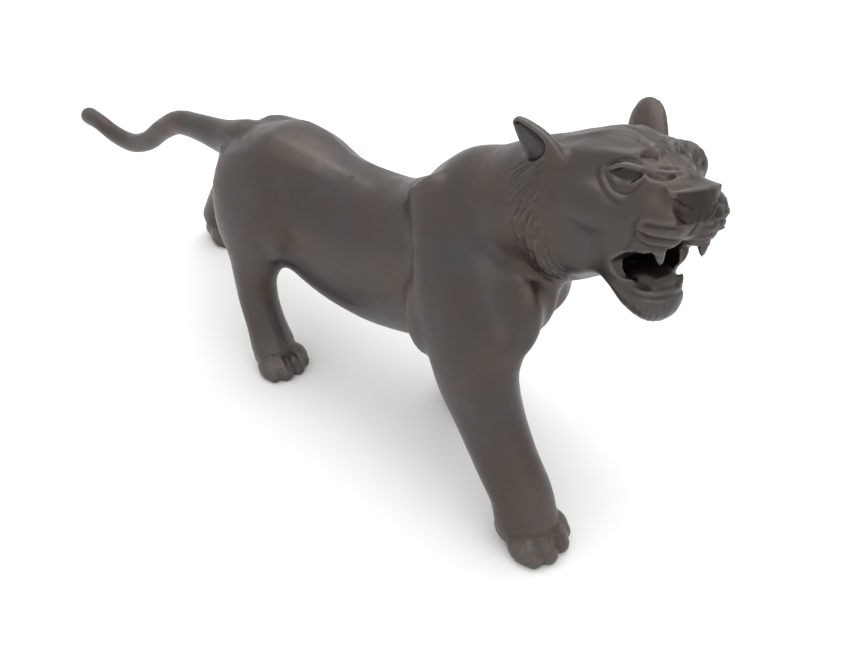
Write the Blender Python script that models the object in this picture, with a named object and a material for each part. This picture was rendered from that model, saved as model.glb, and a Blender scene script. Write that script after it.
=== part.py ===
# Cast bronze tiger, standing in mid stride with its mouth open, made as one solid.
# The tiger looks along +X, its left side is +Y, and it stands on the plane Z = 0.
import math

import bmesh
import bpy
import numpy as np
from mathutils import Matrix, Vector

MM = 0.001

# Overall size in millimetres: nose to tail, across the paws, soles to ears
LENGTH = 456
WIDTH = 124
HEIGHT = 195

# Mesh sizes, in millimetres
BODY_VOXEL = 1.6
DETAIL_VOXEL = 1.0
SIDES = 40
TRIANGLES = 11500
FACE_REACH = 26
FADE = 40
PAW_REACH = 18
KEEP = 0.003

# Trunk, from the tail to the chest: along, height of the middle, half width, above, below
TRUNK = (
    (-111, 109, 18, 12, 20),
    (-98, 106, 28, 26, 31),
    (-84, 103, 34, 34, 34),
    (-60, 100, 34, 38, 38),
    (-38, 96, 31, 36, 48),
    (-10, 94, 31, 36, 50),
    (18, 96, 32, 37, 47),
    (48, 103, 34, 43, 42),
    (74, 110, 31, 44, 36),
    (91, 121, 24, 34, 29),
)

# Neck, from between the shoulders to the skull: place, half width, above, below
NECK = (
    (50, 3, 124, 24, 29, 24),
    (66, 3, 132, 26, 33, 28),
    (82, 3, 140, 28, 31, 32),
    (100, 2, 152, 28, 29, 37),
    (120, 2, 163, 27, 26, 36),
)

# Tail, from the rump to the tip: place and radius
TAIL = (
    (-106, 0, 117, 13),
    (-126, 0, 114, 10),
    (-148, 0, 113, 8),
    (-170, 0, 110, 7.2),
    (-188, 0, 100, 6.5),
    (-206, 0, 87, 6.2),
    (-224, 0, 80, 6),
    (-243, 0, 80, 5.6),
    (-261, 0, 84, 5.4),
    (-271, 0, 85, 5.8),
)

# Legs, from the shoulder or the hip to the pastern: place, half depth, half width
RIGHT_FORE = (
    (44, -15, 146, 13, 8),
    (62, -23, 128, 20, 11),
    (74, -29, 110, 26, 15),
    (88, -35, 92, 27, 16),
    (94, -39, 76, 21.5, 16.5),
    (104, -41, 58, 17, 15.5),
    (116, -43, 40, 15.5, 14.5),
    (127, -44, 24, 15, 14.5),
    (131, -45, 13, 15, 15),
)
LEFT_FORE = (
    (44, 16, 146, 16, 9),
    (52, 23, 132, 20, 11),
    (60, 29, 110, 26, 14),
    (62, 32, 92, 23, 14),
    (57, 32, 76, 18, 13.5),
    (50, 30, 58, 14.5, 13),
    (43, 28, 40, 12.5, 12),
    (38, 26, 24, 13, 12.5),
    (38, 25, 13, 14, 14),
)
RIGHT_HIND = (
    (-80, -16, 120, 26, 12),
    (-76, -23, 106, 28, 16),
    (-74, -28, 90, 24.5, 15.5),
    (-71, -30, 72, 18, 13.5),
    (-72, -31, 56, 12.8, 11.5),
    (-71, -31, 42, 11.5, 11),
    (-67, -31, 28, 11.5, 11),
    (-62, -31, 14, 13, 12.5),
)
LEFT_HIND = (
    (-83, 16, 120, 26, 12),
    (-87, 22, 106, 28, 15),
    (-100, 29, 90, 23, 15),
    (-120, 33, 74, 18, 13),
    (-146, 36, 62, 13.5, 11),
    (-176, 41, 52, 11.5, 10),
    (-193, 45, 35, 10.8, 10),
    (-204, 47, 15, 12.5, 12),
)

# Paws: the middle on the floor, and the way it points in degrees from the tiger's own heading
RIGHT_FORE_PAW = (132, -45, 2)
LEFT_FORE_PAW = (43, 25, 0)
RIGHT_HIND_PAW = (-60, -31, -4)
LEFT_HIND_PAW = (-200, 47, 4)
FORE_PAW_SIZE = 0.94
HIND_PAW_SIZE = 0.84

# Muscles: from, to, half width along the skin, half thickness across the tiger
MUSCLES = (
    ((92, -24, 118), (72, -38, 84), 15, 10),
    ((56, -30, 112), (66, -40, 80), 13, 10),
    ((103, -23, 122), (101, -31, 90), 16, 10),
    ((82, 24, 118), (58, 34, 84), 15, 10),
    ((88, 24, 122), (78, 28, 94), 15, 10),
    ((48, 28, 112), (52, 34, 80), 13, 10),
    ((-95, -18, 118), (-79, -32, 78), 19, 11),
    ((-70, -24, 116), (-52, -31, 80), 14, 10),
    ((-104, 18, 118), (-112, 34, 78), 20, 12),
    ((-74, 24, 116), (-84, 31, 84), 14, 10),
)

# Head: where its own origin sits between the eyes, and how it turns, nods and tilts, in degrees
HEAD_PLACE = (137, 4, 169)
HEAD_TURN = -16.4
HEAD_LIFT = 17
HEAD_TILT = -6.8


def curve_through(points, count):
    """Smooth curve through rows of numbers, at even steps of the way along them."""
    rows = np.array(points, float)
    gaps = np.linalg.norm(np.diff(rows[:, :3], axis=0), axis=1)
    along = np.concatenate([[0], np.cumsum(gaps)])
    slopes = np.gradient(rows, along, axis=0)
    made = []
    for place in np.linspace(0, along[-1], count):
        i = min(np.searchsorted(along, place, side="right") - 1, len(gaps) - 1)
        t = (place - along[i]) / gaps[i]
        a, b = rows[i], rows[i + 1]
        da, db = slopes[i] * gaps[i], slopes[i + 1] * gaps[i]
        made.append(
            a * (2 * t**3 - 3 * t**2 + 1)
            + da * (t**3 - 2 * t**2 + t)
            + b * (3 * t**2 - 2 * t**3)
            + db * (t**3 - t**2)
        )
    return np.array(made)


def add_loft(bm, sections, up, place=Matrix.Identity(4), rounding=0.6):
    """Closed skin over sections of (x, y, z, half width, above, below), with rounded ends."""
    length = sum(math.dist(a[:3], b[:3]) for a, b in zip(sections, sections[1:]))
    rows = curve_through(sections, max(8, int(length / 3)))
    tangents = np.gradient(rows[:, :3], axis=0)
    ends = []
    for end, way in ((0, -1), (-1, 1)):
        reach = rounding * min(rows[end][3:5])
        for step in (0.25, 0.5, 0.75, 0.93):
            row = rows[end].copy()
            turn = step * math.pi / 2
            aim = tangents[end] / np.linalg.norm(tangents[end])
            row[:3] += way * aim * reach * math.sin(turn)
            row[3:] *= math.cos(turn)
            ends.append((end, row, tangents[end]))
    first = [(r, t) for e, r, t in ends if e == 0][::-1]
    last = [(r, t) for e, r, t in ends if e == -1]
    rings = []
    for row, tangent in first + list(zip(rows, tangents)) + last:
        aim = Vector(tangent).normalized()
        side = aim.cross(Vector(up)).normalized()
        top = side.cross(aim).normalized()
        ring = []
        for k in range(SIDES):
            turn = 2 * math.pi * k / SIDES
            height = row[4] if math.sin(turn) > 0 else row[5]
            point = Vector(row[:3]) + side * row[3] * math.cos(turn) + top * height * math.sin(turn)
            ring.append(bm.verts.new(place @ (point * MM)))
        rings.append(ring)
    for low, high in zip(rings, rings[1:]):
        for k in range(SIDES):
            n = (k + 1) % SIDES
            bm.faces.new((low[k], high[k], high[n], low[n]))
    bm.faces.new(rings[0])
    bm.faces.new(rings[-1][::-1])


def add_tube(bm, points, up=(0, 0, 1), place=Matrix.Identity(4), rounding=1.0):
    """Round tube through (x, y, z, radius) points."""
    add_loft(bm, [(*p[:3], p[3], p[3], p[3]) for p in points], up, place, rounding)


def add_ellipsoid(bm, centre, radii, turn=(0, 0, 0), place=Matrix.Identity(4)):
    """Ellipsoid at centre, turned by degrees about X, Y and Z."""
    spin = Matrix.Identity(4)
    for angle, axis in zip(turn, "XYZ"):
        spin = Matrix.Rotation(math.radians(angle), 4, axis) @ spin
    shape = Matrix.Translation(Vector(centre) * MM) @ spin @ Matrix.Diagonal((*radii, 1))
    shape = place @ shape @ Matrix.Diagonal((MM, MM, MM, 1))
    bmesh.ops.create_icosphere(bm, subdivisions=4, radius=1, matrix=shape)


def add_muscle(bm, start, end, width, thickness):
    """Long ellipsoid from start to end, flat against the tiger's side."""
    start, end = Vector(start), Vector(end)
    aim = (end - start).normalized()
    across = aim.cross(Vector((0, 1, 0))).normalized()
    out = across.cross(aim).normalized()
    spin = Matrix((across, out, aim)).transposed().to_4x4()
    length = (end - start).length / 2 + width * 0.4
    shape = Matrix.Translation((start + end) / 2 * MM) @ spin
    shape = shape @ Matrix.Diagonal((width * MM, thickness * MM, length * MM, 1))
    bmesh.ops.create_icosphere(bm, subdivisions=4, radius=1, matrix=shape)


def fused(bm, voxel, fill, smooth):
    """One skin round every form in the bmesh, its creases filled and its surface smoothed."""
    mesh = bpy.data.meshes.new("forms")
    bm.to_mesh(mesh)
    bm.free()
    holder = bpy.data.objects.new("forms", mesh)
    bpy.context.scene.collection.objects.link(holder)
    remesh = holder.modifiers.new("Remesh", "REMESH")
    remesh.mode = "VOXEL"
    remesh.voxel_size = voxel * MM
    graph = bpy.context.evaluated_depsgraph_get()
    skin = bpy.data.meshes.new_from_object(holder.evaluated_get(graph))
    bpy.data.objects.remove(holder)
    points = points_of(skin)
    edges = edges_of(skin)
    points = smoothed(points, edges, 2)
    points = filled(skin, points, edges, fill)
    points = smoothed(points, edges, smooth)
    put_points(skin, points)
    return skin


def points_of(mesh):
    flat = np.empty(len(mesh.vertices) * 3, np.float32)
    mesh.vertices.foreach_get("co", flat)
    return flat.reshape(-1, 3).astype(float)


def normals_of(mesh):
    flat = np.empty(len(mesh.vertices) * 3, np.float32)
    mesh.vertices.foreach_get("normal", flat)
    return flat.reshape(-1, 3).astype(float)


def edges_of(mesh):
    flat = np.empty(len(mesh.edges) * 2, np.int32)
    mesh.edges.foreach_get("vertices", flat)
    return flat.reshape(-1, 2)


def put_points(mesh, points):
    mesh.vertices.foreach_set("co", points.astype(np.float32).ravel())
    mesh.update()


def neighbour_mean(points, edges):
    count = np.bincount(edges.ravel(), minlength=len(points)).astype(float)
    total = np.empty_like(points)
    for k in range(3):
        total[:, k] = np.bincount(edges[:, 0], points[edges[:, 1], k], len(points))
        total[:, k] += np.bincount(edges[:, 1], points[edges[:, 0], k], len(points))
    return total / np.maximum(count, 1)[:, None]


def smoothed(points, edges, rounds):
    """Smoothing that gives back its shrinkage on every second round."""
    for _ in range(rounds):
        points = points + 0.5 * (neighbour_mean(points, edges) - points)
        points = points - 0.52 * (neighbour_mean(points, edges) - points)
    return points


def filled(mesh, points, edges, rounds):
    """Fills only hollows, so that forms meet in soft fillets and keep their crowns."""
    for turn in range(rounds):
        if turn % 4 == 0:
            put_points(mesh, points)
            normals = normals_of(mesh)
        lift = ((neighbour_mean(points, edges) - points) * normals).sum(axis=1)
        points = points + normals * np.maximum(lift, 0)[:, None]
    return points


def head_matrix():
    turn = Matrix.Rotation(math.radians(HEAD_TURN), 4, "Z")
    lift = Matrix.Rotation(math.radians(-HEAD_LIFT), 4, "Y")
    tilt = Matrix.Rotation(math.radians(HEAD_TILT), 4, "X")
    return Matrix.Translation(Vector(HEAD_PLACE) * MM) @ turn @ lift @ tilt


def add_trunk(bm):
    add_loft(bm, [(x, 0, z, w, up, down) for x, z, w, up, down in TRUNK], (0, 0, 1))
    add_loft(bm, NECK, (0, 0, 1))
    add_tube(bm, TAIL)
    for muscle in MUSCLES:
        add_muscle(bm, *muscle)


def add_legs(bm):
    for leg in (RIGHT_FORE, LEFT_FORE, RIGHT_HIND, LEFT_HIND):
        add_loft(bm, [(x, y, z, w, d, d) for x, y, z, d, w in leg], (1, 0, 0))


def add_skull(bm, head):
    """Main masses of the head: brain case, cheeks and lower jaw."""
    add_loft(
        bm,
        (
            (-46, 0, -3, 22, 14.5, 17),
            (-32, 0, 1, 26, 20.5, 20),
            (-16, 0, 2.5, 27, 22.6, 20),
            (-2, 0, 3, 25, 23.6, 19),
            (10, 0, 2, 21.5, 20.6, 18),
            (19, 0, 0.5, 18, 17, 17),
            (28, 0, -2.5, 15.5, 14, 13.5),
            (34, 0, -4, 14, 10, 11),
        ),
        (0, 0, 1),
        head,
    )
    add_loft(
        bm,
        (
            (-16, 0, -23, 20, 8, 9),
            (-3, 0, -28, 18.5, 6, 6.5),
            (6, 0, -34, 17, 6, 7.5),
            (12, 0, -39, 14.5, 8, 11.5),
            (17, 0, -41.5, 12.5, 8.5, 11),
            (20, 0, -41.5, 11.5, 8.5, 10),
        ),
        (0, 0, 1),
        head,
        0.4,
    )
    add_loft(
        bm,
        (
            (16, 0, 11, 6, 7, 9),
            (24, 0, 9, 6.5, 7, 9),
            (31, 0, 5, 7.5, 6.5, 8),
            (36, 0, 1.5, 7, 4, 6),
        ),
        (0, 0, 1),
        head,
        0.3,
    )
    add_ellipsoid(bm, (15.5, 0, -43), (9.5, 12, 9.5), place=head)
    for side in (-1, 1):
        add_ellipsoid(bm, (-3, 19 * side, -2), (21, 12, 14), (0, 8, -10 * side), head)
        add_ellipsoid(bm, (-17, 18 * side, -14), (19, 13, 22), (0, -12, 0), head)
        add_ellipsoid(bm, (8, 14 * side, -21), (12, 6.5, 14), (0, 25, 0), head)
        add_ellipsoid(bm, (27, 10 * side, -7), (13.5, 9, 12), (0, 14, -12 * side), head)
        add_ellipsoid(bm, (18.5, 4.2 * side, 18.4), (4.6, 2.8, 2.8), (0, 20, -20 * side), head)
        add_tube(
            bm,
            (
                (-25, 30 * side, 8, 4),
                (-27, 32 * side, -6, 5),
                (-24, 30 * side, -20, 5),
                (-19, 23 * side, -32, 5),
                (-15, 12 * side, -38, 4),
            ),
            place=head,
        )
        add_ellipsoid(bm, (15, 13 * side, -8), (16, 8, 11), (0, 12, -16 * side), head)
        add_ellipsoid(bm, (20, 11.5 * side, -14), (14, 6.5, 7), (0, 28, -12 * side), head)
        add_tube(
            bm,
            (
                (21, 5.5 * side, 15, 4.2),
                (12, 11.5 * side, 15.5, 5),
                (1, 16.5 * side, 15.5, 6),
                (-12, 21.5 * side, 13, 7),
            ),
            place=head,
        )
    add_ellipsoid(bm, (9, 20, 9.5), (12.5, 8.5, 10), place=head)
    add_ellipsoid(bm, (30, 13.6, -6), (10, 7.2, 10.5), (0, 14, -8), head)


def spaces_of_face(head):
    """Hollow of the open mouth, the slot that opens it through both cheeks, and the eye sockets."""
    inner = bmesh.new()
    add_loft(
        inner,
        (
            (48, 0, -25, 12, 9, 7),
            (32, 0, -25.5, 10.5, 7.5, 8),
            (20, 0, -27, 13, 9, 10),
            (9, 0, -27.5, 13.6, 9, 9),
            (-4, 0, -26, 10, 6, 6),
        ),
        (0, 0, 1),
        head,
    )
    outer = bmesh.new()
    add_loft(
        outer,
        (
            (14, 0, -28.4, 36, 4.5, 4.5),
            (19, -0.8, -27.9, 36, 6.8, 6.2),
            (24, -2.1, -27.2, 36, 7.6, 7),
            (31, -4, -26, 36, 7, 6.6),
            (38, -5.9, -24.4, 36, 8, 7.4),
            (53, -9.9, -23, 36, 10, 8),
        ),
        (0, 0, 1),
        head,
        0.05,
    )
    sockets = bmesh.new()
    for side in (-1, 1):
        add_ellipsoid(
            sockets, (16.4 - side, eye_place(16.8, side), 10.2), (7.8, 5.4, 4.2), (0, 0, -34 * side), head
        )
        add_ellipsoid(sockets, (41.6, 6.8 * side, -0.8), (2.6, 2.4, 1.6), (20 * side, 0, 20 * side), head)
    hollows = bmesh.new()
    for side in (-1, 1):
        add_ear(hollows, head, side, True)
    return inner, outer, sockets, hollows


def eye_place(out, side):
    """Distance across the head for a point of the eye, which sits further out on the left."""
    return side * out + (5.5 if side > 0 else 0)


def add_face(bm, head):
    """Pad of the nose."""
    nose = []
    for x, y, z in (
        (43, 0, 6), (42, 6, 6.2), (38.5, 13.6, 5.2), (38.5, 11, 0.5), (42.2, 6.5, -2.5),
        (43, 2.5, -7.5), (29, 10, 8), (28, 11, 2), (32, 4, -9),
    ):
        for side in (-1, 1) if y else (1,):
            nose.append(bm.verts.new(head @ (Vector((x, y * side, z)) * MM)))
    bmesh.ops.convex_hull(bm, input=nose)


def add_small_forms(bm, head):
    """Eyes, lids, tongue and teeth."""
    add_loft(
        bm,
        ((2, 0, -33, 9, 4, 8), (10, 0, -33, 9.5, 5, 8), (17, 0, -33, 8.5, 4.5, 7), (22, 0, -34, 6.5, 3, 5)),
        (0, 0, 1),
        head,
    )
    for side in (-1, 1):
        add_ellipsoid(bm, (13.4, eye_place(11, side), 10), (6.4, 6.4, 6.2), place=head)
        add_tube(
            bm,
            (
                (23, eye_place(9.4, side), 9.2, 0.8),
                (19.6, eye_place(14.2, side), 12.9, 1.1),
                (15, eye_place(17.8, side), 14, 1.2),
                (9, eye_place(20.2, side), 12, 0.9),
            ),
            place=head,
        )
        add_tube(
            bm,
            (
                (23, eye_place(9.6, side), 8.6, 0.8),
                (20, eye_place(14.8, side), 6.6, 1.0),
                (15, eye_place(18.4, side), 6.8, 1.0),
                (9, eye_place(20.4, side), 11, 0.8),
            ),
            place=head,
        )
        tooth(bm, head, (30.4, 11.8 * side, -17), (30.4, 11 * side, -24.6), 2.5)
    tooth(bm, head, (22, 7, -36), (23.6, 7.2, -32), 1.3)


def tooth(bm, head, root, tip, radius):
    points = []
    for k in range(5):
        t = k / 4
        place = Vector(root).lerp(Vector(tip), t)
        points.append((*place, radius * (1 - t) ** 0.6 + 0.35))
    add_tube(bm, points, up=(1, 0, 0), place=head, rounding=0.8)


def add_ear(bm, head, side, hollow):
    """One ear, or the hollow of its cup, which faces outward."""
    root = Vector((-20, 28.5 * side, 15))
    tip = Vector((-30.5, 36 * side, 32 if side < 0 else 33.5))
    across = Vector((15, 3 * side, 8))
    out = (tip - root).cross(across)
    out = (out if out.y * side > 0 else -out).normalized()
    sections = []
    for t in (0.1, 0.25, 0.4, 0.55, 0.7, 0.82) if hollow else (-0.5, -0.2, 0, 0.2, 0.4, 0.6, 0.8, 0.92):
        wide = 11.5 * (1 - max(0, t) ** (1.6 if side < 0 else 3.4)) ** 0.7
        spot = root.lerp(tip, t)
        if hollow:
            spot = spot + out * 1.2
            sections.append((*spot, wide - 2, 9, 0.36 * wide - 0.6))
        else:
            sections.append((*spot, wide, 1.6, 0.5 * wide + 1))
    add_loft(bm, sections, out, head, 0.5)


def add_paw(bm, paw, size):
    x, y, heading = paw
    place = Matrix.Translation(Vector((x, y, 0)) * MM)
    place = place @ Matrix.Rotation(math.radians(heading), 4, "Z") @ Matrix.Scale(size, 4)
    add_ellipsoid(bm, (-3, 0, 9), (15, 13.5, 10.5), place=place)
    for out, along, across in ((0.5, 10, 4.8), (0.9, 6, 11.6)):
        for side in (-1, 1):
            aim = 10 * side * out
            add_ellipsoid(bm, (along, across * side, 7), (9.5, 6.8, 8.9), (0, 10, aim), place)
            tip = Vector((along + 6.6, across * side * 1.04, 4.4))
            add_ellipsoid(bm, tip, (4.8, 5, 5.6), (0, 0, aim), place)


def flat_soled(mesh):
    """Cuts the soles flat at the floor."""
    bm = bmesh.new()
    bm.from_mesh(mesh)
    geometry = bm.verts[:] + bm.edges[:] + bm.faces[:]
    bmesh.ops.bisect_plane(
        bm, geom=geometry, dist=1e-7, plane_co=(0, 0, 0), plane_no=(0, 0, 1), clear_inner=True
    )
    rims = [e for e in bm.edges if e.is_boundary]
    bmesh.ops.holes_fill(bm, edges=rims, sides=0)
    bmesh.ops.triangulate(bm, faces=bm.faces[:])
    bm.to_mesh(mesh)
    bm.free()
    return mesh


def lighter(mesh, head):
    """Same form with fewer triangles, most of them left to the head and the paws."""
    points = points_of(mesh) / MM
    holder = bpy.data.objects.new("fine", mesh)
    bpy.context.scene.collection.objects.link(holder)
    group = holder.vertex_groups.new(name="plain")
    middle = np.array(head @ (Vector((19, 0, -6)) * MM)) / MM
    reach = np.linalg.norm(points - middle, axis=1)
    plain = np.clip((reach - FACE_REACH) / FADE, 0, 1)
    plain = np.minimum(plain, 0.5 + 0.5 * np.clip((points[:, 2] - PAW_REACH) / 8, 0, 1))
    plain = 0.05 + 0.95 * plain
    for level in range(0, 21):
        rows = np.flatnonzero(np.round(plain * 20) == level)
        if len(rows):
            group.add(rows.tolist(), level / 20, "REPLACE")
    modifier = holder.modifiers.new("Decimate", "DECIMATE")
    modifier.ratio = TRIANGLES / (2 * len(mesh.polygons))
    modifier.vertex_group = group.name
    modifier.vertex_group_factor = KEEP
    graph = bpy.context.evaluated_depsgraph_get()
    light = bpy.data.meshes.new_from_object(holder.evaluated_get(graph))
    bpy.data.objects.remove(holder)
    return light


def sized(mesh):
    """Fits the form to its overall size, with the origin under the middle of its bounding box."""
    points = points_of(mesh)
    low, high = points.min(axis=0), points.max(axis=0)
    points[:, :2] -= (low + high)[:2] / 2
    points *= np.array((LENGTH, WIDTH, HEIGHT)) * MM / (high - low)
    put_points(mesh, points)
    return mesh


def bronze():
    material = bpy.data.materials.new("bronze")
    material.use_nodes = True
    surface = material.node_tree.nodes["Principled BSDF"]
    surface.inputs["Base Color"].default_value = (0.075, 0.06, 0.052, 1)
    surface.inputs["Metallic"].default_value = 0.85
    surface.inputs["Roughness"].default_value = 0.42
    return material


def cut(mesh, spaces):
    """Takes the form in each bmesh away from the mesh."""
    whole = bpy.data.objects.new("whole", mesh)
    bpy.context.scene.collection.objects.link(whole)
    tools = []
    for bm in spaces:
        space = bpy.data.meshes.new("space")
        bm.to_mesh(space)
        bm.free()
        tools.append(bpy.data.objects.new("space", space))
        bpy.context.scene.collection.objects.link(tools[-1])
        modifier = whole.modifiers.new("Boolean", "BOOLEAN")
        modifier.operation = "DIFFERENCE"
        modifier.solver = "EXACT"
        modifier.object = tools[-1]
    graph = bpy.context.evaluated_depsgraph_get()
    rest = bpy.data.meshes.new_from_object(whole.evaluated_get(graph))
    for holder in (whole, *tools):
        bpy.data.objects.remove(holder)
    return rest


def sculpt():
    head = head_matrix()
    bm = bmesh.new()
    add_trunk(bm)
    add_legs(bm)
    add_skull(bm, head)
    body = fused(bm, BODY_VOXEL, 30, 4)
    bm = bmesh.new()
    bm.from_mesh(body)
    add_face(bm, head)
    for side in (-1, 1):
        add_ear(bm, head, side, False)
    add_paw(bm, RIGHT_FORE_PAW, FORE_PAW_SIZE)
    add_paw(bm, LEFT_FORE_PAW, FORE_PAW_SIZE)
    add_paw(bm, RIGHT_HIND_PAW, HIND_PAW_SIZE)
    add_paw(bm, LEFT_HIND_PAW, HIND_PAW_SIZE)
    body = fused(bm, DETAIL_VOXEL, 12, 1)
    body = cut(body, spaces_of_face(head))
    bm = bmesh.new()
    bm.from_mesh(body)
    add_small_forms(bm, head)
    return fused(bm, DETAIL_VOXEL, 0, 1)


def build():
    for old in list(bpy.data.objects):
        bpy.data.objects.remove(old)
    fine = sculpt()
    tiger = bpy.data.objects.new("tiger", sized(flat_soled(lighter(fine, head_matrix()))))
    bpy.context.scene.collection.objects.link(tiger)
    tiger.data.materials.append(bronze())
    tiger.data.shade_smooth()


build()
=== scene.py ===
import math

import bmesh
import bpy
import numpy as np
from mathutils import Matrix, Vector
from mathutils.bvhtree import BVHTree


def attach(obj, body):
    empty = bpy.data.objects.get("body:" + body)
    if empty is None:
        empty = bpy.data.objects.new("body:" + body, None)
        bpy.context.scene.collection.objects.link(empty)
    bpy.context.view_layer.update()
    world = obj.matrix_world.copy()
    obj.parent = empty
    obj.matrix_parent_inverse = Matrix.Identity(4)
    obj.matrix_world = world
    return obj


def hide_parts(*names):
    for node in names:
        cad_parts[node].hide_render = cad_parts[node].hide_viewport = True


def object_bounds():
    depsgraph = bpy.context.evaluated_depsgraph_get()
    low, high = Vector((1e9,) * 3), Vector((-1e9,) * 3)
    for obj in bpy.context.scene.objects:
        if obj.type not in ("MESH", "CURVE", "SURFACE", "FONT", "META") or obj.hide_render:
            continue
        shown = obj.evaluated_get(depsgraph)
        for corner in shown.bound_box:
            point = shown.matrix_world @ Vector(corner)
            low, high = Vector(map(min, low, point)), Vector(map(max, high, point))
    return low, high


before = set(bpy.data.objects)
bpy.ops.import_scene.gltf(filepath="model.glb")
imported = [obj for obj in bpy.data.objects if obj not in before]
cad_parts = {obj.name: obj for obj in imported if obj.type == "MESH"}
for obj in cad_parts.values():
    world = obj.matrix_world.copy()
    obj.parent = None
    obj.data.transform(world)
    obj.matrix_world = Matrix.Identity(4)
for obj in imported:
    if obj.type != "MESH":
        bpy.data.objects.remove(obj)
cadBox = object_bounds()

mm = 0.001
figure = Matrix.Identity(4)  # place of forms that are given in the figure's own millimetres

sculpting = {  # how finely the form is made, in millimetres
    "body": (1.6, 30, 4),  # trunk, legs and skull: voxel, rounds of filling and of smoothing
    "face": (1.0, 12, 1),  # with nose, ears and paws
    "cast": (0.7, 0, 1),  # with lids, teeth and fur
    "blocks": 2,  # rounds that take away the voxels' steps
    "ease": 0.5,  # how far smoothing moves a point to its neighbours
    "giveBack": 0.52,  # how far back, so that nothing shrinks
    "ringGap": 3,
    "fewestRings": 8,
    "sides": 40,  # points of each ring
    "endSteps": (0.25, 0.5, 0.75, 0.93),  # rings of a rounded end, in quarter turns
    "ball": 4,  # subdivisions of an ellipsoid
}

body = {  # trunk, legs and tail, in millimetres, facing +X with the left side at +Y
    "trunk": (
        (-111, 109, 18, 12, 20), (-98, 106, 28, 26, 31), (-84, 103, 34, 34, 34),
        (-60, 100, 34, 38, 38), (-38, 96, 31, 36, 48), (-10, 94, 31, 36, 50), (18, 96, 32, 37, 47),
        (48, 103, 34, 43, 42), (74, 110, 31, 44, 36), (91, 121, 24, 34, 29),
    ),  # along, height of the middle, half width, above, below; tail end to chest
    "neck": (
        (50, 3, 124, 24, 29, 24), (66, 3, 132, 26, 33, 28), (82, 3, 140, 28, 31, 32),
        (100, 2, 152, 28, 29, 37), (120, 2, 163, 27, 26, 36),
    ),  # place, half width, above, below
    "tail": (
        (-106, 0, 117, 13), (-126, 0, 114, 10), (-148, 0, 113, 8), (-170, 0, 110, 7.2),
        (-188, 0, 100, 6.5), (-206, 0, 87, 6.2), (-224, 0, 80, 6), (-243, 0, 80, 5.6),
        (-261, 0, 84, 5.4), (-271, 0, 85, 5.8),
    ),  # place and radius, rump to tip
    "rightFore": (
        (44, -15, 146, 13, 8), (62, -23, 128, 20, 11), (74, -29, 110, 26, 15),
        (88, -35, 92, 27, 16), (94, -39, 76, 21.5, 16.5), (104, -41, 58, 17, 15.5),
        (116, -43, 40, 15.5, 14.5), (127, -44, 24, 15, 14.5), (131, -45, 13, 15, 15),
    ),  # place, half depth, half width
    "leftFore": (
        (44, 16, 146, 16, 9), (52, 23, 132, 20, 11), (60, 29, 110, 26, 14), (62, 32, 92, 23, 14),
        (57, 32, 76, 18, 13.5), (50, 30, 58, 14.5, 13), (43, 28, 40, 12.5, 12),
        (38, 26, 24, 13, 12.5), (38, 25, 13, 14, 14),
    ),
    "rightHind": (
        (-80, -16, 120, 26, 12), (-76, -23, 106, 28, 16), (-74, -28, 90, 24.5, 15.5),
        (-71, -30, 72, 18, 13.5), (-72, -31, 56, 12.8, 11.5), (-71, -31, 42, 11.5, 11),
        (-67, -31, 28, 11.5, 11), (-62, -31, 14, 13, 12.5),
    ),
    "leftHind": (
        (-83, 16, 120, 26, 12), (-87, 22, 106, 28, 15), (-100, 29, 90, 23, 15),
        (-120, 33, 74, 18, 13), (-146, 36, 62, 13.5, 11), (-176, 41, 52, 11.5, 10),
        (-193, 45, 35, 10.8, 10), (-204, 47, 15, 12.5, 12),
    ),
    "muscles": (
        ((92, -24, 118), (72, -38, 84), 15, 10), ((56, -30, 112), (66, -40, 80), 13, 10),
        ((103, -23, 122), (101, -31, 90), 16, 10), ((101, -10, 128), (102, -17, 98), 15, 10),
        ((82, 24, 118), (58, 34, 84), 15, 10), ((88, 24, 122), (78, 28, 94), 15, 10),
        ((48, 28, 112), (52, 34, 80), 13, 10), ((-95, -18, 118), (-79, -32, 78), 19, 11),
        ((-70, -24, 116), (-52, -31, 80), 14, 10), ((-104, 18, 118), (-112, 34, 78), 20, 12),
        ((-74, 24, 116), (-84, 31, 84), 14, 10),
    ),  # from, to, half width along the skin, half thickness
    "muscleEnds": 0.4,  # past the two points, in half widths
    "paws": (  # middle on the floor, heading in degrees, size
        (132, -45, 2, 0.94), (43, 25, 0, 0.94), (-60, -31, -4, 0.84), (-200, 47, 4, 0.84),
    ),
}

headPose = {  # the head: its own origin sits between the eyes; turn, lift and tilt in degrees
    "place": (137, 4, 169),
    "turn": -16.4,
    "lift": 17,
    "tilt": -6.8,
}


def curveThrough(points, count):  # smooth curve through rows of numbers, at even steps along it
    rows = np.array(points, float)
    gaps = np.linalg.norm(np.diff(rows[:, :3], axis=0), axis=1)
    along = np.concatenate([[0], np.cumsum(gaps)])
    slopes = np.gradient(rows, along, axis=0)
    made = []
    for place in np.linspace(0, along[-1], count):
        i = min(np.searchsorted(along, place, side="right") - 1, len(gaps) - 1)
        t = (place - along[i]) / gaps[i]
        a, b = rows[i], rows[i + 1]
        da, db = slopes[i] * gaps[i], slopes[i + 1] * gaps[i]
        made.append(
            a * (2 * t**3 - 3 * t**2 + 1)
            + da * (t**3 - 2 * t**2 + t)
            + b * (3 * t**2 - 2 * t**3)
            + db * (t**3 - t**2)
        )
    return np.array(made)


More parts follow.
